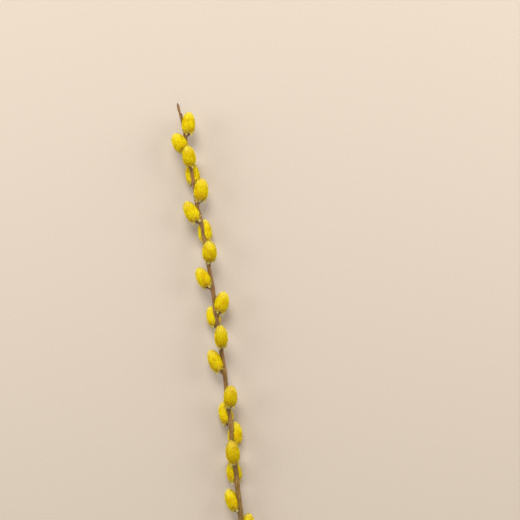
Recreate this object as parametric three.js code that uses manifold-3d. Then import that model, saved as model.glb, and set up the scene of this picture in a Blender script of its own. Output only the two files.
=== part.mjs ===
// A cut willow branch in catkin, lying on a table with its tip towards +Y.
// One long shoot grew the bark stem, the silky catkins that stand off it all round, the tip bud
// and the dormant buds of the bare foot, so all of it is one solid. Millimetres, +Z up.
import * as THREE from "three";
import { mergeVertices } from "three/addons/utils/BufferGeometryUtils.js";
import Module from "manifold-3d";

// Driving dimensions. A station is a distance along the branch from its tip.
const BRANCH_LENGTH = 600;
const TIP_RADIUS = 0.75;
const YOUNG_WOOD = 1.05; // what the radius gains over the first stretch below the tip
const YOUNG_WOOD_REACH = 80;
const OLD_WOOD = 1.0; // what it gains, faster and faster, down to the cut
const TIP_BUD_LENGTH = 7;
const TIP_BUD_RADIUS = 1.35;
const CUT_SLANT = 0.45; // the knife's slope across the stem

// The shoot's sideways bow, as station and offset, and how it lies: level on its catkins,
// a little raised at the tip and down on the table at the cut end.
const BOW = [
  [0, 0], [30, 3.2], [75, 4.8], [140, 8.2], [210, 9.4],
  [290, 8.8], [362, 6.8], [480, 3.2], [600, 0],
];
const LYING_HEIGHT = 10.7;
const TIP_RISE = 3;
const TIP_RISE_END = 90;
const FOOT_FALL_START = 450;
const KINK = 0.45; // the shoot steps this far away from each bud

// Where the buds of the upper part sit, as station and turn in degrees: 0 up, 90 towards -X.
// Below them each bud is two fifths of a turn on from the last.
const UPPER_CATKINS = [
  [30, 280], [44, 85], [58, 0], [74, 180], [89, 285], [106, 85], [125, 198],
  [142, 330], [164, 85], [187, 280], [199, 145], [217, 345], [238, 90], [269, 330],
  [285, 142], [304, 212], [318, 5], [336, 160], [360, 105],
];
const LOWER_SPACING = 22;
const LAST_CATKIN = 452;
const LAST_BUD = 585;
const BUD_TURN = (2 * Math.PI * 2) / 5;

const CATKIN_LENGTH = 19.2;
const CATKIN_RADIUS = 6.5;
const CATKIN_SPREAD = 0.07; // share by which length and width vary
const CATKIN_LEAN = THREE.MathUtils.degToRad(17);
const LEAN_SPREAD = THREE.MathUtils.degToRad(4);
const PRESSED_LEAN = 0.3; // share of its lean that a catkin under the branch loses to the weight
const PEG_LENGTH = 2.2; // short stalk in its bud scale
const PEG_REACH = 2.2; // how far the stalk carries the catkin's foot off the stem
const PEG_RADIUS = 1.5;
const ROOT_DEPTH = 1.6; // how far the peg goes into the stem
const CATKIN_SIDES = 12;
const TUFT_HEIGHT = 0.3;
const TUFT_SWEEP = 0.4;
const SKIRT_DROP = 0.8; // the lowest tufts hang back over the peg
const SKIRT_FLARE = 0.4;

const BUD_LENGTH = 6.5;
const BUD_RADIUS = 1.35;
const BUD_LEAN = THREE.MathUtils.degToRad(11);
const BUD_SIDES = 8;

const STEM_SIDES = 9;
const NODE_SWELL = 0.14; // share by which the stem thickens at a bud
const NODE_REACH = 4;
const SCAR_HEIGHT = 0.75; // leaf scar, a ledge under the bud
const SCAR_DROP = 1.3;

const DYED_BRANCH = new THREE.MeshStandardMaterial({
  name: "willow branch",
  color: 0xd9b91c,
  roughness: 0.85,
  metalness: 0,
});

// A repeatable draw between -1 and 1.
function seededDraws(seed) {
  let state = seed;
  return () => {
    state = (state * 1664525 + 1013904223) % 4294967296;
    return (state / 4294967296) * 2 - 1;
  };
}

// The station and turn of every bud, from the tip down.
function budPlaces() {
  const places = UPPER_CATKINS.map(([station, turn]) => [station, THREE.MathUtils.degToRad(turn)]);
  let [station, turn] = places.at(-1);
  while (station + LOWER_SPACING < LAST_BUD) {
    station += LOWER_SPACING;
    turn += BUD_TURN;
    places.push([station, turn]);
  }
  return places;
}

// Every bud of the shoot from the tip down, those with a catkin first.
function budsOfShoot() {
  const draw = seededDraws(7);
  return budPlaces().map(([station, turn]) => ({
    station,
    turn,
    lean: (CATKIN_LEAN + LEAN_SPREAD * draw()) * (1 - PRESSED_LEAN * Math.max(0, -Math.cos(turn))),
    size: 1 + CATKIN_SPREAD * draw(),
    girth: 1 + CATKIN_SPREAD * draw(),
    open: station < LAST_CATKIN,
  }));
}

// The catkins nearest the tip and the last ones before the bare foot are the smallest.
function catkinScale(bud) {
  const young = THREE.MathUtils.smoothstep(bud.station, 0, 60);
  const late = THREE.MathUtils.smoothstep(bud.station, LAST_CATKIN - 70, LAST_CATKIN + 20);
  return 0.84 + 0.16 * young - 0.2 * late;
}

function bowAt(station) {
  const next = Math.max(1, BOW.findIndex(([s]) => s >= station));
  const [s0, x0] = BOW[next - 1];
  const [s1, x1] = BOW[next];
  return THREE.MathUtils.mapLinear(station, s0, s1, x0, x1);
}

function heightAt(station) {
  const rise = Math.max(0, 1 - station / TIP_RISE_END);
  const fall = THREE.MathUtils.smoothstep(station, FOOT_FALL_START, BRANCH_LENGTH + 25);
  const footHeight = woodRadius(BRANCH_LENGTH);
  return LYING_HEIGHT + TIP_RISE * rise * rise - (LYING_HEIGHT - footHeight) * fall;
}

function woodRadius(station) {
  const young = YOUNG_WOOD * (1 - Math.exp(-station / YOUNG_WOOD_REACH));
  return TIP_RADIUS + young + OLD_WOOD * (station / BRANCH_LENGTH) ** 2;
}

// The middle line of the stem, through a point at each bud that is stepped away from it.
function stemLine(buds) {
  const points = [new THREE.Vector3(bowAt(0), BRANCH_LENGTH / 2, heightAt(0))];
  for (const { station, turn } of buds) {
    points.push(
      new THREE.Vector3(
        bowAt(station) + KINK * Math.sin(turn),
        BRANCH_LENGTH / 2 - station,
        heightAt(station) - KINK * Math.cos(turn),
      ),
    );
  }
  points.push(
    new THREE.Vector3(bowAt(BRANCH_LENGTH), -BRANCH_LENGTH / 2, heightAt(BRANCH_LENGTH)),
  );
  return new THREE.CatmullRomCurve3(points, false, "catmullrom", 0.5);
}

// A point of the stem's middle line with the direction to the tip and the two across it.
function stemFrame(line, knots, station) {
  const next = Math.min(
    knots.length - 1,
    Math.max(1, knots.findIndex((knot) => knot >= station)),
  );
  const share = (station - knots[next - 1]) / (knots[next] - knots[next - 1]);
  const t = (next - 1 + share) / (knots.length - 1);
  const along = line.getTangent(THREE.MathUtils.clamp(t, 0, 1)).negate();
  const right = new THREE.Vector3().crossVectors(along, new THREE.Vector3(0, 0, 1)).normalize();
  const up = new THREE.Vector3().crossVectors(right, along);
  return { point: line.getPoint(THREE.MathUtils.clamp(t, 0, 1)), along, right, up };
}

// The direction off the stem at a turn: 0 looks up, a quarter turn looks to -X.
function outward(frame, turn) {
  return frame.up
    .clone()
    .multiplyScalar(Math.cos(turn))
    .addScaledVector(frame.right, -Math.sin(turn));
}

function budRelief(bud, station, turn) {
  const off = station - bud.station;
  const swell = NODE_SWELL * Math.exp(-((off / NODE_REACH) ** 2));
  const facing = Math.max(0, Math.cos(turn - bud.turn)) ** 3;
  const ledge = Math.exp(-(((off - SCAR_DROP) / 1.3) ** 2));
  return { swell, scar: SCAR_HEIGHT * facing * ledge };
}

function stemRadius(buds, station, turn) {
  let swell = 0;
  let scar = 0;
  for (const bud of buds) {
    if (Math.abs(station - bud.station) > 3 * NODE_REACH) continue;
    const relief = budRelief(bud, station, turn);
    swell += relief.swell;
    scar += relief.scar;
  }
  return woodRadius(station) * (1 + swell) + scar;
}

// The slim bud that ends the shoot: pointed, then round, then the width of the twig.
function tipRadius(station, plain) {
  if (station > TIP_BUD_LENGTH) return plain;
  const share = station / TIP_BUD_LENGTH;
  return Math.max(0.25, TIP_BUD_RADIUS * Math.sin(Math.PI * Math.min(share, 0.72)) ** 0.8);
}

// Rings of the stem: close together at each bud, one between, and a few in the tip bud.
function stemStations(buds) {
  const stations = [0, 1.5, 3.2, 5.2, TIP_BUD_LENGTH, 12];
  let last = 12;
  for (const { station } of buds) {
    if (station - last > 16) stations.push((station - 3 + last) / 2);
    stations.push(station - 3, station + 0.2, station + SCAR_DROP, station + 3.4);
    last = station + 3.4;
  }
  stations.push(BRANCH_LENGTH - 8, BRANCH_LENGTH);
  return stations;
}

function closedSolid(wasm, geometry) {
  geometry.deleteAttribute("normal");
  geometry.deleteAttribute("uv");
  const merged = mergeVertices(geometry, 1e-3);
  const corners = Array.from(merged.index.array);
  const faces = [];
  for (let i = 0; i < corners.length; i += 3) {
    const [a, b, c] = corners.slice(i, i + 3);
    if (a !== b && b !== c && c !== a) faces.push(a, b, c);
  }
  return new wasm.Manifold(
    new wasm.Mesh({
      numProp: 3,
      vertProperties: Float32Array.from(merged.attributes.position.array),
      triVerts: Uint32Array.from(faces),
    }),
  );
}

// Moves each vertex of a geometry to what place(x, y, z) gives.
function reshape(geometry, place) {
  const spots = geometry.attributes.position;
  for (let i = 0; i < spots.count; i++) {
    const to = place(spots.getX(i), spots.getY(i), spots.getZ(i));
    spots.setXYZ(i, to.x, to.y, to.z);
  }
  return geometry;
}

function makeStem(buds, frameAt) {
  const stations = stemStations(buds);
  const rows = stations.length - 1;
  const rod = new THREE.CylinderGeometry(1, 1, rows, STEM_SIDES, rows);
  return reshape(rod, (x, y, z) => {
    const row = Math.round(rows / 2 - y);
    const turn = Math.atan2(-x, z);
    const share = Math.hypot(x, z);
    const frame = frameAt(stations[row]);
    const plain = stemRadius(buds, stations[row], turn);
    const reach = share * tipRadius(stations[row], plain);
    const slant = row === rows ? CUT_SLANT * reach * Math.cos(turn) : 0;
    return frame.point
      .clone()
      .addScaledVector(outward(frame, turn), reach)
      .addScaledVector(frame.along, slant);
  });
}

// Half outline of a catkin from the foot of its peg to its blunt end, as share of the radius and
// share of the length. The peg comes before it at its own size.
const CATKIN_OUTLINE = [
  [0.6, 0.0], [0.87, 0.1], [0.99, 0.24], [1.0, 0.4],
  [0.94, 0.56], [0.81, 0.71], [0.59, 0.85], [0.29, 0.95],
];

// Tufts and the hollows between them take turns, round each row and from row to row.
function isTuft(column, row) {
  return (column + row) % 2 === 0;
}

// The faces of a turned outline, each four-sided patch folded from hollow to hollow, so that every
// tuft stands up as a diamond. firstRow is the outline point that tuft row 0 lies on.
function diamondFaces(points, firstRow) {
  const faces = [];
  for (let column = 0; column < CATKIN_SIDES; column++) {
    for (let point = 0; point < points - 1; point++) {
      const a = column * points + point;
      const [b, c, d] = [a + points, a + points + 1, a + 1];
      const row = point - firstRow + 2 * points;
      if (isTuft(column, row)) faces.push(a, b, d, c, d, b);
      else faces.push(a, b, c, a, c, d);
    }
  }
  return faces;
}

// One catkin along +Y from its root: the peg, a ragged skirt, and tufts in staggered rows.
function makeCatkin(length, radius) {
  const peg = [
    new THREE.Vector2(0, -ROOT_DEPTH),
    new THREE.Vector2(PEG_RADIUS, -ROOT_DEPTH),
    new THREE.Vector2(PEG_RADIUS * 1.2, PEG_LENGTH),
  ];
  const body = CATKIN_OUTLINE.map(
    ([wide, far]) => new THREE.Vector2(wide * radius, PEG_LENGTH + far * length),
  );
  const end = new THREE.Vector2(0, PEG_LENGTH + length);
  const outline = [...peg, ...body, end];
  const shape = new THREE.LatheGeometry(outline, CATKIN_SIDES);
  shape.setIndex(diamondFaces(outline.length, peg.length));
  return reshape(shape, (x, y, z) => {
    const row = body.findIndex((ring) => Math.abs(ring.y - y) < 1e-4);
    if (row < 0) return new THREE.Vector3(x, y, y < 0 ? z - PEG_REACH : z);
    const wide = Math.hypot(x, z);
    const column = Math.round((Math.atan2(x, z) / (2 * Math.PI)) * CATKIN_SIDES) + CATKIN_SIDES;
    const side = isTuft(column, row) ? 1 : -1;
    const skirt = row === 0 && side > 0;
    const reach = wide + TUFT_HEIGHT * side * Math.min(1, wide / 3) + (skirt ? SKIRT_FLARE : 0);
    const sweep = row > 0 ? TUFT_SWEEP * side : 0;
    const drop = skirt ? SKIRT_DROP : 0;
    return new THREE.Vector3((x / wide) * reach, y + sweep - drop, (z / wide) * reach);
  });
}

// A closed bud: plump at its foot and pointed, as wide as its own scale.
function makeBud() {
  const outline = [
    [0, -ROOT_DEPTH], [0.8, -ROOT_DEPTH], [1.0, 1.2], [0.96, 2.8], [0.66, 4.6], [0.25, 6.0],
  ].map(([wide, far]) => new THREE.Vector2(wide * BUD_RADIUS, far));
  return new THREE.LatheGeometry([...outline, new THREE.Vector2(0, BUD_LENGTH)], BUD_SIDES);
}

// Stands a catkin or bud on the stem, leaning out and up the shoot, with its root in the wood.
function standOnStem(geometry, bud, frame, lean, rootRadius) {
  const out = outward(frame, bud.turn);
  const axis = frame.along
    .clone()
    .multiplyScalar(Math.cos(lean))
    .addScaledVector(out, Math.sin(lean));
  const side = new THREE.Vector3().crossVectors(axis, out).normalize();
  const front = new THREE.Vector3().crossVectors(side, axis);
  const root = frame.point.clone().addScaledVector(out, rootRadius);
  const place = new THREE.Matrix4().makeBasis(side, axis, front).setPosition(root);
  return geometry.applyMatrix4(place);
}

// All that lies above the table top, so that soft catkins are flat where they rest.
function aboveTable() {
  const tall = 80;
  const block = new THREE.BoxGeometry(200, BRANCH_LENGTH + 100, tall);
  return block.translate(0, 0, tall / 2);
}

function centredOnBox(geometry) {
  geometry.computeBoundingBox();
  const { min, max } = geometry.boundingBox;
  return geometry.translate(-(min.x + max.x) / 2, -(min.y + max.y) / 2, -min.z);
}

// The outer skin alone, so that a gap which catkins close between them is filled.
function withoutHollows(solid) {
  return solid.decompose().sort((a, b) => b.volume() - a.volume())[0];
}

function geometryOf(solid) {
  const { vertProperties, triVerts } = solid.getMesh();
  const geometry = new THREE.BufferGeometry();
  geometry.setAttribute("position", new THREE.BufferAttribute(vertProperties, 3));
  geometry.setIndex(new THREE.BufferAttribute(triVerts, 1));
  return geometry;
}

const wasm = await Module();
wasm.setup();

const buds = budsOfShoot();
const line = stemLine(buds);
const knots = [0, ...buds.map((bud) => bud.station), BRANCH_LENGTH];
const frameAt = (station) => stemFrame(line, knots, station);

let grown = closedSolid(wasm, makeStem(buds, frameAt));
for (const bud of buds) {
  const frame = frameAt(bud.station);
  const root = woodRadius(bud.station) * 0.6 + (bud.open ? PEG_REACH : 0);
  const scale = catkinScale(bud);
  const shape = bud.open
    ? makeCatkin(CATKIN_LENGTH * bud.size * scale, CATKIN_RADIUS * bud.girth * scale)
    : makeBud();
  const lean = bud.open ? bud.lean : BUD_LEAN;
  grown = grown.add(closedSolid(wasm, standOnStem(shape, bud, frame, lean, root)));
}
const lying = withoutHollows(grown.intersect(closedSolid(wasm, aboveTable())));

const willowBranch = new THREE.Mesh(centredOnBox(geometryOf(lying)), DYED_BRANCH);
willowBranch.name = "willow_branch";
willowBranch.geometry.computeVertexNormals();

const part = new THREE.Group();
part.add(willowBranch);

export default part;
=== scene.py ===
"""A cut branch of dyed pussy willow, lying on a pale table and seen from straight above."""

import math

import bpy
import numpy as np
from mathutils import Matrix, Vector


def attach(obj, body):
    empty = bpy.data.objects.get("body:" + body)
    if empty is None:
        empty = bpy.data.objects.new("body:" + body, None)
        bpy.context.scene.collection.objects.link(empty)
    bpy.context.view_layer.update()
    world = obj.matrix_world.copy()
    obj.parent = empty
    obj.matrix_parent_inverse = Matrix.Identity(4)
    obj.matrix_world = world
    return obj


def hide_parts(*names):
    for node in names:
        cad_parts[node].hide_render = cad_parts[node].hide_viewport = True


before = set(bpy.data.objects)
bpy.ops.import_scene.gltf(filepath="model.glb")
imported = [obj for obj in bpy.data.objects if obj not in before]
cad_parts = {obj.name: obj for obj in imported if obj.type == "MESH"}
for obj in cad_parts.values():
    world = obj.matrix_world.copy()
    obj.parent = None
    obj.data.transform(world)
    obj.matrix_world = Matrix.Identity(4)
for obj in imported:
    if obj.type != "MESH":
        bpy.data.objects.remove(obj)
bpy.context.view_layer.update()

# The stem: one year's shoot, smooth young bark over wood. It steps a little aside at each bud and
# is swollen there over last year's leaf scar. The bark is dotted with corky pores and has shrunk
# into fine lengthwise lines. Lengths are millimetres, and a station is a distance from the tip.
MM = 0.001
BRANCH_LENGTH = 600.0
BOW = [
    (0, 0), (30, 3.2), (75, 4.8), (140, 8.2), (210, 9.4),
    (290, 8.8), (362, 6.8), (480, 3.2), (600, 0),
]
LYING_HEIGHT = 10.7
TIP_RISE = 3.0
TIP_RISE_END = 90.0
FOOT_FALL_START = 450.0
FOOT_FALL_PAST_END = 25.0
KINK = 0.45
TIP_RADIUS = 0.75
YOUNG_WOOD = 1.05
YOUNG_WOOD_REACH = 80.0
OLD_WOOD = 1.0
UPPER_CATKINS = [
    (30, 280), (44, 85), (58, 0), (74, 180), (89, 285), (106, 85), (125, 198),
    (142, 330), (164, 85), (187, 280), (199, 145), (217, 345), (238, 90), (269, 330),
    (285, 142), (304, 212), (318, 5), (336, 160), (360, 105),
]
LOWER_SPACING = 22.0
LAST_CATKIN = 452.0
LAST_BUD = 585.0
BUD_TURN = 144
CATKIN_LEAN = math.radians(17)
LEAN_SPREAD = math.radians(4)
PRESSED_LEAN = 0.3
CATKIN_SPREAD = 0.07
PLAN_SEED = 7
DRAW_FACTOR, DRAW_STEP, DRAW_RANGE = 1664525, 1013904223, 2**32
TIP_SLICE = 0.2


def seeded_draws(seed):
    """Repeatable draws between -1 and 1, the same that set out the solid branch."""
    state = seed
    while True:
        state = (state * DRAW_FACTOR + DRAW_STEP) % DRAW_RANGE
        yield state / DRAW_RANGE * 2 - 1


def smoothstep(x, low, high):
    """Rises softly from 0 at low to 1 at high."""
    x = np.clip((x - low) / (high - low), 0, 1)
    return x * x * (3 - 2 * x)


def set_out_buds():
    """Every bud of the shoot from the tip down, those with a catkin first. Below the upper part
    each is two fifths of a turn on from the last."""
    places = list(UPPER_CATKINS)
    while places[-1][0] + LOWER_SPACING < LAST_BUD:
        places.append((places[-1][0] + LOWER_SPACING, places[-1][1] + BUD_TURN))
    draw = seeded_draws(PLAN_SEED)
    buds = []
    for station, degrees in places:
        turn = math.radians(degrees)
        pressed = PRESSED_LEAN * max(0.0, -math.cos(turn))
        buds.append({
            "station": station,
            "turn": turn,
            "lean": (CATKIN_LEAN + LEAN_SPREAD * next(draw)) * (1 - pressed),
            "size": 1 + CATKIN_SPREAD * next(draw),
            "girth": 1 + CATKIN_SPREAD * next(draw),
            "open": station < LAST_CATKIN,
        })
    return buds


def wood_radius(station):
    young = YOUNG_WOOD * (1 - np.exp(-station / YOUNG_WOOD_REACH))
    return TIP_RADIUS + young + OLD_WOOD * (station / BRANCH_LENGTH) ** 2


def height_at(station):
    rise = max(0.0, 1 - station / TIP_RISE_END)
    fall = smoothstep(station, FOOT_FALL_START, BRANCH_LENGTH + FOOT_FALL_PAST_END)
    foot_height = wood_radius(BRANCH_LENGTH)
    return LYING_HEIGHT + TIP_RISE * rise * rise - (LYING_HEIGHT - foot_height) * fall


def tip_of(node):
    """The tip's place in millimetres, the middle of the node's points that lie furthest along +Y."""
    points = np.empty(3 * len(node.data.vertices))
    node.data.vertices.foreach_get("co", points)
    points = points.reshape(-1, 3) / MM
    return points[points[:, 1] > points[:, 1].max() - TIP_SLICE].mean(0)


buds = set_out_buds()
tip = tip_of(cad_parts["willow_branch"])
knots = np.array([0.0] + [bud["station"] for bud in buds] + [BRANCH_LENGTH])
turns = np.array([math.pi / 2] + [bud["turn"] for bud in buds] + [math.pi / 2])
kinks = np.array([0.0] + [KINK] * len(buds) + [0.0])
bow_stations, bow_offsets = zip(*BOW)
line = np.stack([
    tip[0] + np.interp(knots, bow_stations, bow_offsets) + kinks * np.sin(turns),
    tip[1] - knots,
    np.array([height_at(s) for s in knots]) - kinks * np.cos(turns),
], axis=1)
line = np.vstack([2 * line[0] - line[1], line, 2 * line[-1] - line[-2]])


def stem_at(stations):
    """Points of the stem's middle line, with the directions to the tip, right and up there."""
    stations = np.atleast_1d(np.asarray(stations, float))
    i = np.clip(np.searchsorted(knots, stations) - 1, 0, len(knots) - 2)
    t = ((stations - knots[i]) / (knots[i + 1] - knots[i]))[:, None]
    a, b, c, d = line[i], line[i + 1], line[i + 2], line[i + 3]
    out, back = (c - a) / 2, (d - b) / 2
    bend, twist = -3 * b + 3 * c - 2 * out - back, 2 * b - 2 * c + out + back
    point = b + out * t + bend * t**2 + twist * t**3
    along = -(out + 2 * bend * t + 3 * twist * t**2)
    along /= np.linalg.norm(along, axis=1, keepdims=True)
    right = np.cross(along, (0, 0, 1))
    right /= np.linalg.norm(right, axis=1, keepdims=True)
    return point, along, right, np.cross(right, along)


def outward(right, up, turn):
    """The direction off the stem at a turn: 0 looks up, a quarter turn looks to -X."""
    turn = np.asarray(turn)[..., None]
    return np.cos(turn) * up - np.sin(turn) * right


BARK_SIDES = 36
BARK_STEP = 0.8
BARK_START = 5.0
NODE_SWELL = 0.14
NODE_REACH = 4.0
SCAR_HEIGHT = 0.6
SCAR_DROP = 1.3
SCAR_LENGTH = 0.9
SCAR_CURVE = 0.9
PORE_SEED = 7
PORE_COUNT = 700
PORES_FROM = 15.0
PORES_TO = BRANCH_LENGTH - 3
PORE_LENGTH = 0.5
PORE_WIDTH = 0.2
PORE_HEIGHT = 0.08
PORE_FADE = 3
WRINKLE_DEPTH = 0.035
WRINKLES = [(7, 0.4, 23), (11, 2.1, 17), (16, 4.4, 31)]
WRINKLE_WANDER = 1.3
CUT_SLANT = 0.45


def linear(hex_colour):
    """An sRGB hex colour as linear red, green, blue and alpha."""
    parts = [int(hex_colour[i:i + 2], 16) / 255 for i in (1, 3, 5)]
    return [p / 12.92 if p <= 0.04045 else ((p + 0.055) / 1.055) ** 2.4 for p in parts] + [1]


def plug(tree, node, inputs):
    """Gives each named input of a node a value, or links it to another node's output."""
    for name, value in inputs.items():
        if isinstance(value, bpy.types.NodeSocket):
            tree.links.new(value, node.inputs[name])
        else:
            node.inputs[name].default_value = value


def add_node(tree, kind, inputs=None, output=0, stops=(), **settings):
    """Adds a node with its settings, inputs and colour stops, and gives back one of its outputs."""
    node = tree.nodes.new(kind)
    for name, value in settings.items():
        setattr(node, name, value)
    for place, _ in stops[2:]:
        node.color_ramp.elements.new(place)
    for i, (place, colour) in enumerate(stops):
        node.color_ramp.elements[i].position = place
        node.color_ramp.elements[i].color = linear(colour)
    plug(tree, node, inputs or {})
    return node.outputs[output]


def new_material(name):
    """A material with one plain shader on its output: its tree and that shader."""
    made = bpy.data.materials.new(name)
    made.use_nodes = True
    return made, made.node_tree, made.node_tree.nodes["Principled BSDF"]


def make_piece(name, points, faces, material):
    """A piece of the branch from points in millimetres and one array of corners per kind of face."""
    mesh = bpy.data.meshes.new(name)
    corners = np.concatenate([np.ravel(group) for group in faces]).astype(np.int32)
    counts = np.concatenate([np.full(len(group), np.shape(group)[1]) for group in faces])
    mesh.vertices.add(len(points))
    mesh.vertices.foreach_set("co", (np.asarray(points, float) * MM).ravel())
    mesh.loops.add(len(corners))
    mesh.loops.foreach_set("vertex_index", corners)
    mesh.polygons.add(len(counts))
    mesh.polygons.foreach_set("loop_start", (np.cumsum(counts) - counts).astype(np.int32))
    mesh.update(calc_edges=True)
    mesh.shade_smooth()
    mesh.materials.append(material)
    made = bpy.data.objects.new(name, mesh)
    bpy.context.collection.objects.link(made)
    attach(made, "root")
    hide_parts("willow_branch")
    return made


def give_values(made, name, values):
    """Stores one number at each point of a piece, for its material to read."""
    layer = made.data.attributes.new(name, "FLOAT", "POINT")
    layer.data.foreach_set("value", np.ascontiguousarray(values, np.float32).ravel())


def tube_faces(rows, sides):
    """Four-sided faces between the rings of a tube, facing out when the rings run down the stem."""
    row, side = np.meshgrid(np.arange(rows - 1), np.arange(sides), indexing="ij")
    a = row * sides + side
    b = row * sides + (side + 1) % sides
    return np.stack([a, a + sides, b + sides, b], axis=-1).reshape(-1, 4)


def bark_relief(stations, angles):
    """How far the bark stands off the middle line, and how much of it is scar or pore there."""
    station, angle = np.meshgrid(stations, angles, indexing="ij")
    swell = np.zeros_like(station)
    scar = np.zeros_like(station)
    for bud in buds:
        off = station - bud["station"]
        facing = np.clip(np.cos(angle - bud["turn"]), 0, 1)
        crescent = off - SCAR_DROP - SCAR_CURVE * (1 - facing)
        swell += NODE_SWELL * np.exp(-((off / NODE_REACH) ** 2))
        scar += facing**2 * np.exp(-((crescent / SCAR_LENGTH) ** 4))
    draw = np.random.default_rng(PORE_SEED)
    pores = np.zeros_like(station)
    for place, turn, length in zip(
        draw.uniform(PORES_FROM, PORES_TO, PORE_COUNT),
        draw.uniform(0, math.tau, PORE_COUNT),
        draw.uniform(0.7, 1.3, PORE_COUNT),
    ):
        near = abs(stations - place) < PORE_FADE * PORE_LENGTH
        off = (station[near] - place) / (PORE_LENGTH * length)
        across = np.angle(np.exp(1j * (angle[near] - turn))) * wood_radius(place) / PORE_WIDTH
        pores[near] = np.maximum(pores[near], np.exp(-(off**2) - across**2))
    lines = sum(
        np.sin(count * angle + shift + WRINKLE_WANDER * np.sin(station / pitch))
        for count, shift, pitch in WRINKLES
    )
    plain = wood_radius(station) * (1 + swell)
    wrinkled = WRINKLE_DEPTH / len(WRINKLES) * lines
    return plain + SCAR_HEIGHT * scar + PORE_HEIGHT * pores + wrinkled, scar, pores


def make_bark():
    """The bark as one tube, cut off aslant at the foot. Gives back the ring at the cut."""
    rows = int((BRANCH_LENGTH - BARK_START) / BARK_STEP)
    stations = np.linspace(BARK_START, BRANCH_LENGTH, rows)
    angles = np.arange(BARK_SIDES) * math.tau / BARK_SIDES
    reach, scar, pores = bark_relief(stations, angles)
    point, along, right, up = stem_at(stations)
    off = outward(right[:, None], up[:, None], np.broadcast_to(angles, reach.shape))
    points = point[:, None] + off * reach[..., None]
    points[-1] += along[-1] * (CUT_SLANT * reach[-1] * np.cos(angles))[:, None]
    made = make_piece(
        "bark", points.reshape(-1, 3), [tube_faces(rows, BARK_SIDES)], young_bark()
    )
    give_values(made, "scar", scar)
    give_values(made, "pore", pores)
    give_values(made, "station", np.repeat(stations / BRANCH_LENGTH, BARK_SIDES))
    return points[-1]


def young_bark():
    """Smooth willow bark: a thin waxy skin, so it shines a little, golden brown where it is young
    and olive ochre further down, with pale corky pores and dull leaf scars."""
    made, tree, shader = new_material("young willow bark")
    where = add_node(tree, "ShaderNodeTexCoord", output="Object")
    age = add_node(tree, "ShaderNodeAttribute", output="Fac", attribute_name="station")
    scar = add_node(tree, "ShaderNodeAttribute", output="Fac", attribute_name="scar")
    pore = add_node(tree, "ShaderNodeAttribute", output="Fac", attribute_name="pore")
    # Streaks 0.35 mm wide that run some 9 mm along the stem.
    stretched = add_node(
        tree, "ShaderNodeMapping", {"Vector": where, "Scale": (1000 / 0.35, 1000 / 9, 1000 / 0.35)}
    )
    streaks = add_node(tree, "ShaderNodeTexNoise", {"Vector": stretched, "Scale": 1.0, "Detail": 4.0})
    # Lighter and darker stretches some 14 mm long.
    patches = add_node(tree, "ShaderNodeTexNoise", {"Vector": where, "Scale": 1000 / 14, "Detail": 3.0})
    young = add_node(
        tree, "ShaderNodeValToRGB", {"Fac": streaks}, output="Color",
        stops=((0.3, "#5C3608"), (0.52, "#915E14"), (0.75, "#BA8A34")),
    )
    old = add_node(
        tree, "ShaderNodeValToRGB", {"Fac": streaks}, output="Color",
        stops=((0.3, "#4D3B0D"), (0.52, "#745E1E"), (0.75, "#9A823C")),
    )
    aged = add_node(
        tree, "ShaderNodeMix", {"Factor": age, "A": young, "B": old}, output="Result", data_type="RGBA"
    )
    tone = add_node(
        tree, "ShaderNodeValToRGB", {"Fac": patches}, output="Color",
        stops=((0.3, "#C4BAAC"), (0.7, "#FFFFFF")),
    )
    toned = add_node(
        tree, "ShaderNodeMix", {"Factor": 1.0, "A": aged, "B": tone}, output="Result",
        data_type="RGBA", blend_type="MULTIPLY",
    )
    scarred = add_node(
        tree, "ShaderNodeMix", {"Factor": scar, "A": toned, "B": linear("#5E4020")},
        output="Result", data_type="RGBA",
    )
    dotted = add_node(
        tree, "ShaderNodeMix", {"Factor": pore, "A": scarred, "B": linear("#B4965A")},
        output="Result", data_type="RGBA",
    )
    wax = {"Value": patches, "From Min": 0.3, "From Max": 0.7, "To Min": 0.604, "To Max": 0.434}
    roughness = add_node(tree, "ShaderNodeMapRange", wax)
    bump = add_node(
        tree, "ShaderNodeBump", {"Height": streaks, "Strength": 0.35, "Distance": 0.06 * MM}
    )
    plug(tree, shader, {"Base Color": dotted, "Roughness": roughness, "Normal": bump})
    return made


cut_ring = make_bark()

# The cut: florists slice the foot slantwise with a knife, which leaves an oval of pale wood with
# one growth ring, a brown spongy pith in the middle and a dark line of bark round it.
CUT_RINGS = 12
RING_WANDER = 0.12


def make_cut_face():
    middle = cut_ring.mean(0)
    shares = np.linspace(1, 0, CUT_RINGS, endpoint=False)
    points = np.vstack([middle + (cut_ring - middle) * share for share in shares] + [middle])
    last = (CUT_RINGS - 1) * BARK_SIDES
    side = np.arange(BARK_SIDES)
    centre = np.full(BARK_SIDES, len(points) - 1)
    cap = np.stack([last + side, centre, last + (side + 1) % BARK_SIDES], 1)
    made = make_piece(
        "cut_face", points, [tube_faces(CUT_RINGS, BARK_SIDES), cap], cut_wood()
    )
    give_values(made, "out", np.append(np.repeat(shares, BARK_SIDES), 0))


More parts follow.
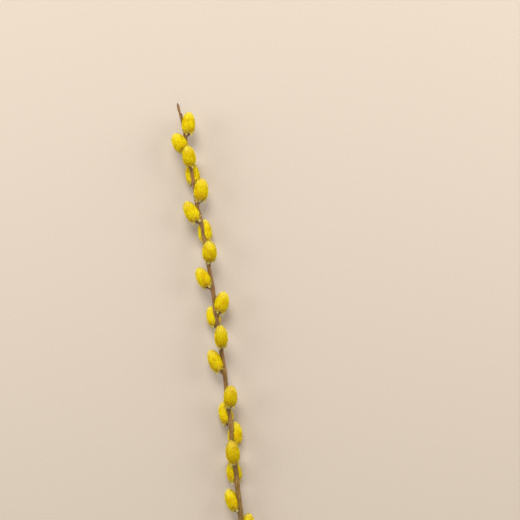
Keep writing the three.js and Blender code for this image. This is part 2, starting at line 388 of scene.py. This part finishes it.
def cut_wood():
    """Knife-cut green wood: pale, matt and a little fibrous, browner in the pith and at the bark."""
    made, tree, shader = new_material("cut willow wood")
    out = add_node(tree, "ShaderNodeAttribute", output="Fac", attribute_name="out")
    where = add_node(tree, "ShaderNodeTexCoord", output="Object")
    # Fibre ends about 0.25 mm across.
    grain = add_node(tree, "ShaderNodeTexNoise", {"Vector": where, "Scale": 1000 / 0.25, "Detail": 3.0})
    spread = add_node(tree, "ShaderNodeMath", {0: grain, 1: RING_WANDER}, operation="MULTIPLY")
    wander = add_node(tree, "ShaderNodeMath", {0: out, 1: spread}, operation="ADD")
    rings = add_node(
        tree, "ShaderNodeValToRGB", {"Fac": wander}, output="Color",
        stops=(
            (0.16, "#8A6233"), (0.26, "#D9C08A"), (0.62, "#E6D3A3"), (0.68, "#C2A468"),
            (0.74, "#E2CD9A"), (0.95, "#CDB67C"), (1.0, "#5A3E1E"),
        ),
    )
    bump = add_node(tree, "ShaderNodeBump", {"Height": grain, "Strength": 0.5, "Distance": 0.05 * MM})
    plug(tree, shader, {"Base Color": rings, "Roughness": 0.8, "Normal": bump})
    return made


make_cut_face()

# The closed buds: one at the tip with a small one under it, and dormant ones on the bare foot. A
# single hood-like scale covers each, grown round the bud and pressed against the stem, smooth and
# a little shiny.
BUD_LENGTH = 6.5
BUD_RADIUS = 1.35
BUD_LEAN = math.radians(11)
BUD_SEAT = 0.6
BUD_SIDES = 20
BUD_ROWS = 18
BUD_FOOT = 0.8
BUD_SWELL = 0.9
BUD_TAPER = 0.35
BUD_KEEL = 0.14
BUD_FLATNESS = 0.6
ROOT_DEPTH = 1.6
TIP_BUD_LENGTH = 6.0
TIP_BUD_RADIUS = 1.3
SIDE_BUD = {"station": 14.5, "turn": math.radians(310)}
SIDE_BUD_RADIUS = 1.15


def stand(bud, lean, reach=0.0):
    """A bud's own frame: its foot, some way off the stem, and the directions across it, along it
    and away from the stem."""
    point, along, right, up = (v[0] for v in stem_at(bud["station"]))
    out = outward(right, up, bud["turn"])
    axis = math.cos(lean) * along + math.sin(lean) * out
    side = np.cross(axis, out)
    side /= np.linalg.norm(side)
    foot = point + (BUD_SEAT * wood_radius(bud["station"]) + reach) * out
    return foot, side, axis, np.cross(side, axis)


def to_branch(place, at):
    """Points given across, along and in front of a bud or catkin, put in the branch's frame."""
    root, side, axis, front = place
    return root + at[..., 0:1] * side + at[..., 1:2] * axis + at[..., 2:3] * front


def bud_points(place, length, radius, flatness):
    """A plump pointed bud with a keel on its outer side, flatter on the side to the stem."""
    share = np.linspace(0, 1, BUD_ROWS)[:, None]
    angle = (np.arange(BUD_SIDES) * math.tau / BUD_SIDES)[None, :]
    plump = BUD_FOOT + BUD_SWELL * share - BUD_TAPER * share**2
    wide = radius * plump * (1 - share**2.2) ** 0.7
    keel = 1 + BUD_KEEL * np.clip(np.cos(angle), 0, 1) ** 6
    depth = wide * np.cos(angle) * np.where(np.cos(angle) < 0, flatness, keel)
    far = -ROOT_DEPTH + share * (length + ROOT_DEPTH) + 0 * angle
    return to_branch(place, np.stack([wide * np.sin(angle), far, depth], -1)).reshape(-1, 3)


def repeat_tube(rows, sides, copies):
    """The faces of several tubes alike that follow each other in one list of points."""
    first = np.arange(copies)[:, None, None] * rows * sides
    return (first + tube_faces(rows, sides)[None, :, ::-1]).reshape(-1, 4)


def make_closed_buds(material):
    buds_to_make = [
        (stand(bud, BUD_LEAN), BUD_LENGTH, BUD_RADIUS, BUD_FLATNESS)
        for bud in buds if not bud["open"]
    ]
    buds_to_make.append((stand(SIDE_BUD, BUD_LEAN), BUD_LENGTH, SIDE_BUD_RADIUS, BUD_FLATNESS))
    point, along, right, up = (v[0] for v in stem_at(TIP_BUD_LENGTH))
    buds_to_make.append(((point, right, along, up), TIP_BUD_LENGTH, TIP_BUD_RADIUS, 1))
    points = np.vstack([bud_points(*bud) for bud in buds_to_make])
    faces = repeat_tube(BUD_ROWS, BUD_SIDES, len(buds_to_make))
    made = make_piece("closed_buds", points, [faces], material)
    share = np.repeat(np.linspace(0, 1, BUD_ROWS), BUD_SIDES)
    give_values(made, "share", np.tile(share, len(buds_to_make)))


def bud_scale():
    """The hard hood of a willow bud: thin, horny and slightly glossy, golden brown, darker and
    drier at its point."""
    made, tree, shader = new_material("horny bud scale")
    share = add_node(tree, "ShaderNodeAttribute", output="Fac", attribute_name="share")
    where = add_node(tree, "ShaderNodeTexCoord", output="Object")
    # Fine veins 0.6 mm apart.
    veins = add_node(tree, "ShaderNodeTexNoise", {"Vector": where, "Scale": 1000 / 0.6, "Detail": 4.0})
    colour = add_node(
        tree, "ShaderNodeValToRGB", {"Fac": share}, output="Color",
        stops=((0.1, "#8E6E2A"), (0.5, "#94692A"), (0.85, "#6A451C"), (1.0, "#3A2610")),
    )
    mottle = add_node(
        tree, "ShaderNodeValToRGB", {"Fac": veins}, output="Color",
        stops=((0.3, "#B8B0A8"), (0.7, "#FFFFFF")),
    )
    toned = add_node(
        tree, "ShaderNodeMix", {"Factor": 1.0, "A": colour, "B": mottle}, output="Result",
        data_type="RGBA", blend_type="MULTIPLY",
    )
    bump = add_node(tree, "ShaderNodeBump", {"Height": veins, "Strength": 0.4, "Distance": 0.05 * MM})
    plug(tree, shader, {"Base Color": toned, "Roughness": 0.38, "Normal": bump})
    return made


horn = bud_scale()
make_closed_buds(horn)

# The pegs: each catkin stands on a short woody stalk. The hood that covered it in winter has
# mostly been pushed off, and a torn rim of it is left round the stalk, under the hair.
CATKIN_LENGTH = 19.2
CATKIN_RADIUS = 6.5
PEG_LENGTH = 2.2
PEG_REACH = 2.2
PEG_RADIUS = 1.5
PEG_FLARE = 0.75
PEG_FLARE_START = 0.45
PEG_BEND_END = 0.75
PEG_SIDES = 20
PEG_ROWS = 10
RIM_SEED = 3
RIM_LENGTH = 1.2
RIM_START = 0.55
RIM_TILT = 0.55
RIM_WAVE = 0.25
RIM_TEAR = 0.15
TIP_SIZE = 0.84
TIP_STRETCH = (0, 60)
LAST_LOSS = 0.2
LAST_STRETCH = (LAST_CATKIN - 70, LAST_CATKIN + 20)


def catkin_scale(station):
    """The catkins nearest the tip and the last ones before the bare foot are the smallest."""
    young = smoothstep(station, *TIP_STRETCH)
    late = smoothstep(station, *LAST_STRETCH)
    return TIP_SIZE + (1 - TIP_SIZE) * young - LAST_LOSS * late


def set_out_catkins():
    """The catkins' frames, lengths and radii, from the tip down."""
    catkins = []
    for bud in buds:
        scale = catkin_scale(bud["station"])
        length = CATKIN_LENGTH * bud["size"] * scale
        radius = CATKIN_RADIUS * bud["girth"] * scale
        if bud["open"]:
            catkins.append((stand(bud, bud["lean"], PEG_REACH), length, radius))
    return catkins


def peg_points(place, draw):
    """The peg comes out of the stem aslant and widens into the rim, which is torn and highest on
    the side away from the stem."""
    share = np.linspace(0, 1, PEG_ROWS)[:, None]
    angle = (np.arange(PEG_SIDES) * math.tau / PEG_SIDES)[None, :]
    torn = 1 + RIM_TILT * np.cos(angle) + RIM_WAVE * np.sin(3 * angle + draw.uniform(0, 6))
    torn = torn + draw.uniform(-RIM_TEAR, RIM_TEAR, (1, PEG_SIDES))
    wide = PEG_RADIUS * (1 + PEG_FLARE * smoothstep(share, PEG_FLARE_START, 1))
    far = -ROOT_DEPTH + share * (ROOT_DEPTH + PEG_LENGTH)
    far = far + smoothstep(share, RIM_START, 1) * RIM_LENGTH * torn
    depth = wide * np.cos(angle) - PEG_REACH * smoothstep(share, PEG_BEND_END, 0)
    at = np.stack([wide * np.sin(angle), far, depth], -1)
    return to_branch(place, at).reshape(-1, 3)


def make_pegs(material):
    draw = np.random.default_rng(RIM_SEED)
    points = np.vstack([peg_points(place, draw) for place, _, _ in catkins])
    faces = repeat_tube(PEG_ROWS, PEG_SIDES, len(catkins))
    made = make_piece("catkin_pegs", points, [faces], material)
    share = np.repeat(np.linspace(0, 1, PEG_ROWS), PEG_SIDES)
    give_values(made, "share", np.tile(share, len(catkins)))


catkins = set_out_catkins()
make_pegs(horn)

# The cores: inside each catkin is a soft spike, grown in one with its peg and closely set with
# small pointed bracts in a spiral. The dye has turned them ochre, and they show between the hairs
# as darker flecks.
CORE_SEED = 11
CORE_SIDES = 28
CORE_ROWS = 26
COAT_DEPTH = 1.5
BARK_GAP = 0.15
TABLE_GAPS = (0.02, 0.12)
PIMPLE_HEIGHT = 0.12
PIMPLE_WAVES = [(8, 40), (5, -62)]
BRACT_SEED = 12
BRACTS = 112
BRACT_LENGTH = 2.0
BRACT_WIDTH = 1.25
BRACT_GROWTH = (0.8, 1.15)
BRACT_SHIELD = [(0, 0, 0.05), (-0.5, 0.4, 0.1), (0.5, 0.4, 0.1), (0, 0.5, 0.3), (0, 1, 0.34)]
GOLDEN_TURN = math.tau * (3 - math.sqrt(5)) / 2
WIDEST = 0.4
FOOT_NARROWING = 0.42


def egg(share):
    """A catkin's half width at a share of its length, full at two fifths and blunt at the end."""
    low = 1 - FOOT_NARROWING * np.clip((WIDEST - share) / WIDEST, 0, 1) ** 2.6
    high = np.clip(1 - np.clip((share - WIDEST) / (1 - WIDEST), 0, 1) ** 2.2, 0, 1) ** 0.5
    return np.where(share < WIDEST, low, high)


def on_core(length, radius, share, angle):
    """Places on a catkin's core, with the outward direction and the way to its end there."""
    core_radius, core_length = radius - COAT_DEPTH, length - COAT_DEPTH
    step = 1e-3
    wide = core_radius * egg(share)
    slope = core_radius * (egg(np.clip(share + step, 0, 1)) - egg(np.clip(share - step, 0, 1)))
    slope = slope / (2 * step * core_length)
    at = np.stack([wide * np.sin(angle), PEG_LENGTH + share * core_length, wide * np.cos(angle)], -1)
    out = np.stack([np.sin(angle), -slope, np.cos(angle)], -1)
    out /= np.linalg.norm(out, axis=-1, keepdims=True)
    onward = np.stack([slope * np.sin(angle), np.ones_like(slope), slope * np.cos(angle)], -1)
    onward /= np.linalg.norm(onward, axis=-1, keepdims=True)
    return at, out, onward


def bract_places():
    """Shares of the length and angles at which bracts lie evenly over the egg's surface."""
    share = np.linspace(0, 1, 400)
    area = np.cumsum(egg(share))
    index = np.arange(BRACTS)
    return np.interp((index + 0.5) / BRACTS, area / area[-1], share), index * GOLDEN_TURN


def lay_down(place, at, draw):
    """Soft parts put in the branch's frame, where they give way to the stem, towards the side that
    their catkin stands on, and to the table."""
    points = to_branch(place, at)
    station = tip[1] - points[..., 1]
    middle = stem_at(station.ravel())[0].reshape(points.shape)
    off = (points - middle) * (1, 0, 1)
    away = place[3] * (1, 0, 1)
    away = away / np.linalg.norm(away)
    far = off @ away
    aside = np.linalg.norm(off - far[..., None] * away, axis=-1)
    bark = wood_radius(station) + BARK_GAP
    least = np.sqrt(np.clip(bark**2 - aside**2, 0, None))
    pressed = np.where(aside < bark, np.clip(least - far, 0, None), 0)
    points = points + pressed[..., None] * away
    points[..., 2] = np.maximum(points[..., 2], draw.uniform(*TABLE_GAPS, station.shape))
    return points


def make_cores(material):
    draw = np.random.default_rng(CORE_SEED)
    share, angle = np.meshgrid(
        np.linspace(0, 1, CORE_ROWS), np.arange(CORE_SIDES) * math.tau / CORE_SIDES, indexing="ij"
    )
    waves = [np.sin(angle * round_it + share * along_it) for round_it, along_it in PIMPLE_WAVES]
    pimple = PIMPLE_HEIGHT * waves[0] * waves[1]
    points = []
    for place, length, radius in catkins:
        at, out, _ = on_core(length, radius, share, angle)
        at = at + out * (pimple * np.clip(egg(share) * 3, 0, 1))[..., None]
        at[0, :, 0] = at[0, :, 2] = 0
        points.append(lay_down(place, at, draw).reshape(-1, 3))
    faces = repeat_tube(CORE_ROWS, CORE_SIDES, len(catkins))
    made = make_piece("catkin_cores", np.vstack(points), [faces], material)
    give_values(made, "far", np.zeros(len(catkins) * CORE_ROWS * CORE_SIDES))


def make_bracts(material):
    """Each bract is a small pointed shield of four faces, lifted at its point."""
    draw = np.random.default_rng(BRACT_SEED)
    share, angle = bract_places()
    points = []
    for place, length, radius in catkins:
        at, out, onward = on_core(length, radius, share, angle + draw.uniform(0, math.tau))
        across = np.cross(onward, out)
        grown = draw.uniform(*BRACT_GROWTH, (BRACTS, 1))
        shield = [
            at + grown * (wide * BRACT_WIDTH * across + far * BRACT_LENGTH * onward + high * out)
            for wide, far, high in BRACT_SHIELD
        ]
        points.append(lay_down(place, np.stack(shield, 1), draw).reshape(-1, 3))
    count = len(catkins) * BRACTS
    first = np.arange(count)[:, None, None] * len(BRACT_SHIELD)
    faces = (first + np.array([(0, 1, 3), (0, 3, 2), (1, 4, 3), (2, 3, 4)])).reshape(-1, 3)
    made = make_piece("catkin_bracts", np.vstack(points), [faces], material)
    give_values(made, "far", np.tile([far for _, far, _ in BRACT_SHIELD], count))


def bract_skin():
    """Dyed bracts: thin, matt and papery, ochre at the foot and brown at the point."""
    made, tree, shader = new_material("dyed bract")
    far = add_node(tree, "ShaderNodeAttribute", output="Fac", attribute_name="far")
    where = add_node(tree, "ShaderNodeTexCoord", output="Object")
    # Uneven dye, in patches some 3 mm across.
    dye = add_node(tree, "ShaderNodeTexNoise", {"Vector": where, "Scale": 1000 / 3, "Detail": 3.0})
    colour = add_node(
        tree, "ShaderNodeValToRGB", {"Fac": far}, output="Color",
        stops=((0.0, "#E0B400"), (0.6, "#C08A08"), (1.0, "#8A5A0C")),
    )
    tone = add_node(
        tree, "ShaderNodeValToRGB", {"Fac": dye}, output="Color",
        stops=((0.3, "#D0D0D0"), (0.7, "#FFFFFF")),
    )
    toned = add_node(
        tree, "ShaderNodeMix", {"Factor": 1.0, "A": colour, "B": tone}, output="Result",
        data_type="RGBA", blend_type="MULTIPLY",
    )
    plug(tree, shader, {"Base Color": toned, "Roughness": 0.75})
    return made


skin = bract_skin()
make_cores(skin)
make_bracts(skin)

# The coats: from under every bract a tuft of fine silky hairs grows and sweeps up towards the
# catkin's end, dyed lemon yellow and paler at the hair tips. Towards the catkin's end the hair is
# painted paler still, a painted highlight. At the foot the tufts are longer and splay out and back
# into a ragged pale skirt.
COAT_SEED = 100
HAIRS_TO_A_BRACT = 62
HAIR_LENGTH = 3.1
HAIR_GROWTH = (0.72, 1.12)
HAIR_WIDTH = 0.11  # some five times a real hair's, so that fewer make as dense a coat
HAIR_LIFT = 0.4
HAIR_SWEEP = 0.88
HAIR_STRAY = 0.1
HAIR_BEND = 0.36
HAIR_POINTS = 5
END_HAIR_LENGTH = 0.75
TUFT_SPREAD = 1.3
TUFT_GATHER = 0.22
TUFT_LIFT = 0.04
TUFT_SWEEP = 1.02
SKIRT_SHARE = 0.15
SKIRT_GROWTH = 0.25
SKIRT_LIFT = 0.3
SKIRT_SWEEP = 1.35
SKIRT_GATHER = 0.35
STRIP_WIDTHS = (0.7, 1.2)
STRIP_MIDDLE = 0.8
STRIP_ROLL = 0.9
STRIP_CELL = [(0.1, 0.1), (0.9, 0.1), (0.85, 0.5), (0.15, 0.5), (0.5, 0.95)]
# A painted highlight: the hair is painted paler from this share of the catkin's length to its end.
PAINTED_HIGHLIGHT_START = 0.55
END_PAINTED_HIGHLIGHT = 0.25


def hair_lines(length, radius, draw):
    """Root, bend and tip of every hair of one catkin, the outward direction at its root, and how
    much it belongs to the skirt."""
    bract_share, bract_angle = (np.repeat(v, HAIRS_TO_A_BRACT) for v in bract_places())
    bract_angle = bract_angle + draw.uniform(0, math.tau)
    count = len(bract_share)
    tuft_at, tuft_out, tuft_onward = on_core(length, radius, bract_share, bract_angle)
    sideways, lengthways = draw.normal(0, 0.5, (2, count)) * TUFT_SPREAD
    angle = bract_angle + sideways / np.maximum(0.8, (radius - COAT_DEPTH) * egg(bract_share))
    share = np.clip(bract_share + lengthways / length, 0.0, 0.995)
    root, out, onward = on_core(length, radius, share, angle)
    skirt = smoothstep(bract_share, SKIRT_SHARE, 0)
    grown = HAIR_LENGTH * draw.uniform(*HAIR_GROWTH, count)
    grown *= END_HAIR_LENGTH + (1 - END_HAIR_LENGTH) * egg(share) + SKIRT_GROWTH * skirt
    grown = grown[:, None]
    lift = (HAIR_LIFT + HAIR_STRAY * draw.normal(size=count) + SKIRT_LIFT * skirt)[:, None]
    sweep = (HAIR_SWEEP - SKIRT_SWEEP * skirt)[:, None]
    stray = draw.normal(0, HAIR_STRAY, (count, 3))
    bend = root + grown * (HAIR_BEND * (out + sweep * onward) + 0.3 * stray)
    end = root + grown * (lift * out + sweep * onward + stray)
    tuft_line = (lift + TUFT_LIFT) * tuft_out + TUFT_SWEEP * sweep * tuft_onward
    gather = (TUFT_GATHER + SKIRT_GATHER * skirt)[:, None]
    end += gather * (tuft_at + grown * tuft_line - end)
    return root, bend, end, out, skirt


def hair_strips(root, bend, end, out, draw):
    """Each hair is a flat strip that narrows to its tip, five points and two faces, turned about
    its own line by a random amount but with its face outward."""
    line = end - root
    line /= np.linalg.norm(line, axis=1, keepdims=True)
    across = np.cross(line, out)
    across /= np.linalg.norm(across, axis=1, keepdims=True)
    roll = draw.uniform(-STRIP_ROLL, STRIP_ROLL, (len(root), 1))
    wide = HAIR_WIDTH * draw.uniform(*STRIP_WIDTHS, (len(root), 1))
    half = wide / 2 * (np.cos(roll) * across + np.sin(roll) * np.cross(across, line))
    middle = (root + 2 * bend + end) / 4
    narrow = STRIP_MIDDLE * half
    return np.stack([root - half, root + half, middle + narrow, middle - narrow, end], 1)


def hair_cells(count):
    """Each hair's own small cell of the texture square, so that a bake gives it its own colour."""
    columns = math.ceil(math.sqrt(count))
    index = np.arange(count)
    corner = np.stack([index % columns, index // columns], 1)[:, None]
    return ((corner + np.array(STRIP_CELL)) / columns).reshape(-1, 2)


def make_coat(number, place, length, radius, material):
    """One catkin's coat. Its shading follows the coat's outside, not each single strip."""
    draw = np.random.default_rng(COAT_SEED + number)
    root, bend, end, out, skirt = hair_lines(length, radius, draw)
    strips = hair_strips(root, bend, end, out, draw)
    count = len(strips)
    points = lay_down(place, strips, draw).reshape(-1, 3)
    first = np.arange(count)[:, None] * HAIR_POINTS
    quads, ends = first + np.array([[0, 1, 2, 3]]), first + np.array([[3, 2, 4]])
    name = f"catkin_hair_{number:02d}"
    made = make_piece(name, points, [quads, ends], material)
    give_values(made, "along", np.tile([0, 0, 0.5, 0.5, 1], count))
    give_values(made, "tone", np.repeat(draw.uniform(0, 1, count), HAIR_POINTS))
    share = np.repeat(bract_places()[0], HAIRS_TO_A_BRACT)
    # How pale each hair is painted: the skirt's undyed hair, plus a painted highlight towards the
    # catkin's end.
    skirt_and_painted_highlight = skirt + END_PAINTED_HIGHLIGHT * smoothstep(share, PAINTED_HIGHLIGHT_START, 1)
    give_values(made, "skirt_and_painted_highlight", np.repeat(skirt_and_painted_highlight, HAIR_POINTS))
    facing = to_branch((0, *place[1:]), out)
    made.data.normals_split_custom_set_from_vertices(np.repeat(facing, HAIR_POINTS, axis=0))
    corners = np.concatenate([quads.ravel(), ends.ravel()])
    layer = made.data.uv_layers.new(name="OFBake")
    layer.uv.foreach_set("vector", hair_cells(count)[corners].astype(np.float32).ravel())


def silk_hair():
    """Dyed silky hair: very fine, matt at a distance with a soft sheen at the edges, deeper yellow
    at the root and lemon at the tip, no two hairs quite alike. In the skirt it has taken nearly no
    dye, and towards the catkin's end it is painted paler, a painted highlight."""
    made, tree, shader = new_material("dyed silk hair")
    along = add_node(tree, "ShaderNodeAttribute", output="Fac", attribute_name="along")
    tone = add_node(tree, "ShaderNodeAttribute", output="Fac", attribute_name="tone")
    skirt_and_painted_highlight = add_node(tree, "ShaderNodeAttribute", output="Fac", attribute_name="skirt_and_painted_highlight")
    where = add_node(tree, "ShaderNodeTexCoord", output="Object")
    # Uneven dye, in patches some 5 mm across.
    dye = add_node(tree, "ShaderNodeTexNoise", {"Vector": where, "Scale": 1000 / 5, "Detail": 2.0})
    deep = add_node(
        tree, "ShaderNodeValToRGB", {"Fac": along}, output="Color",
        stops=((0.0, "#BA8A00"), (0.45, "#F0D900"), (1.0, "#FBEE06")),
    )
    pale = add_node(
        tree, "ShaderNodeValToRGB", {"Fac": along}, output="Color",
        stops=((0.0, "#CCA402"), (0.45, "#F8E606"), (1.0, "#FFF83A")),
    )
    mixed = add_node(
        tree, "ShaderNodeMix", {"Factor": tone, "A": deep, "B": pale}, output="Result",
        data_type="RGBA",
    )
    patches = add_node(
        tree, "ShaderNodeValToRGB", {"Fac": dye}, output="Color",
        stops=((0.32, "#F2DEB0"), (0.6, "#FFFFFF")),
    )
    toned = add_node(
        tree, "ShaderNodeMix", {"Factor": 1.0, "A": mixed, "B": patches}, output="Result",
        data_type="RGBA", blend_type="MULTIPLY",
    )
    # Pale hair colour, used for the undyed skirt and for the painted highlight towards the catkin's end.
    skirt_and_highlight_hair = add_node(
        tree, "ShaderNodeValToRGB", {"Fac": along}, output="Color",
        stops=((0.0, "#E8CC20"), (0.5, "#FDF07A"), (1.0, "#FFFAD0")),
    )
    dyed = add_node(
        tree, "ShaderNodeMix", {"Factor": skirt_and_painted_highlight, "A": toned, "B": skirt_and_highlight_hair}, output="Result",
        data_type="RGBA",
    )
    plug(tree, shader, {
        "Base Color": dyed,
        "Roughness": 0.7,
        "Specular IOR Level": 0.02,
        "Sheen Weight": 1.0,
        "Sheen Roughness": 0.25,
        "Sheen Tint": linear("#FFE610"),
    })
    return made


silk = silk_hair()
for number, (place, length, radius) in enumerate(catkins, start=1):
    make_coat(number, place, length, radius, silk)

# The setting: a plain pale table top, a wide soft light from beyond the tip, a low one at each side
# that brightens the edges of the coats, a weak warm one from the foot, and the camera straight
# above, with the branch as large and as far down the picture as it stands in the photograph.
PICTURE_SIDE = 520
TIP_PIXEL = (177.5, 103.0)
EDGE_PIXEL = (240.6, 514.0)
EDGE_STATION = 361.8
LENS = 85.0
SENSOR = 36.0
TABLE_SIDE = 8.0
TABLE_GAP = 0.2


def table_paint():
    """Matt paint on board, warm off-white, with the faint unevenness that a roller leaves."""
    made, tree, shader = new_material("matt paint")
    where = add_node(tree, "ShaderNodeTexCoord", output="Object")
    # Roller stipple about 1.5 mm across.
    stipple = add_node(tree, "ShaderNodeTexNoise", {"Vector": where, "Scale": 1000 / 1.5, "Detail": 2.0})
    colour = add_node(
        tree, "ShaderNodeValToRGB", {"Fac": stipple}, output="Color",
        stops=((0.3, "#C2B5A7"), (0.7, "#C7BAAC")),
    )
    plug(tree, shader, {"Base Color": colour, "Roughness": 0.9})
    return made


def lay_table():
    bpy.ops.mesh.primitive_plane_add(size=TABLE_SIDE, location=(0, 0, -TABLE_GAP * MM))
    table = bpy.context.object
    table.name = "table_top"
    table.data.materials.append(table_paint())


def soft_light(name, place, size, power, colour):
    """A round soft light that shines at the middle of the branch."""
    lamp = bpy.data.lights.new(name, "AREA")
    lamp.shape = "DISK"
    lamp.size = size
    lamp.energy = power
    lamp.color = linear(colour)[:3]
    made = bpy.data.objects.new(name, lamp)
    made.location = place
    made.rotation_euler = (-Vector(place)).to_track_quat("-Z", "Y").to_euler()
    bpy.context.collection.objects.link(made)


def light_room(strength, colour):
    world = bpy.data.worlds.new("room")
    world.use_nodes = True
    background = world.node_tree.nodes["Background"]
    plug(world.node_tree, background, {"Color": linear(colour), "Strength": strength})
    bpy.context.scene.world = world


def place_camera():
    """Over the table so that the branch fills the same stretch of the picture as in the photo."""
    top = stem_at(0)[0][0] * MM
    edge = stem_at(EDGE_STATION)[0][0] * MM
    seen = np.array([EDGE_PIXEL[0] - TIP_PIXEL[0], TIP_PIXEL[1] - EDGE_PIXEL[1]])
    real = (edge - top)[:2]
    per_pixel = np.linalg.norm(real) / np.linalg.norm(seen)
    roll = math.atan2(real[1], real[0]) - math.atan2(seen[1], seen[0])
    turned = np.array([[math.cos(roll), -math.sin(roll)], [math.sin(roll), math.cos(roll)]])
    middle = np.array([PICTURE_SIDE / 2 - TIP_PIXEL[0], TIP_PIXEL[1] - PICTURE_SIDE / 2])
    over = top[:2] + turned @ middle * per_pixel
    lens = bpy.data.cameras.new("camera")
    lens.lens = LENS
    lens.sensor_width = SENSOR
    made = bpy.data.objects.new("camera", lens)
    distance = LENS / SENSOR * PICTURE_SIDE * per_pixel
    made.location = (over[0], over[1], LYING_HEIGHT * MM + distance)
    made.rotation_euler = (0, 0, roll)
    bpy.context.collection.objects.link(made)
    bpy.context.scene.camera = made


lay_table()
soft_light("key", (0.0, 1.3, 1.2), 0.9, 21, "#FFFDF8")
soft_light("fill", (0.4, -0.8, 1.2), 1.0, 2.5, "#FFE6D0")
soft_light("left side", (-1.2, 0.5, 0.45), 1.0, 11.5, "#FFFDF8")
soft_light("right side", (1.2, 0.45, 0.45), 1.0, 11.5, "#FFFDF8")
light_room(0.39, "#FFFFFF")
place_camera()
bpy.context.scene.view_settings.view_transform = "Standard"
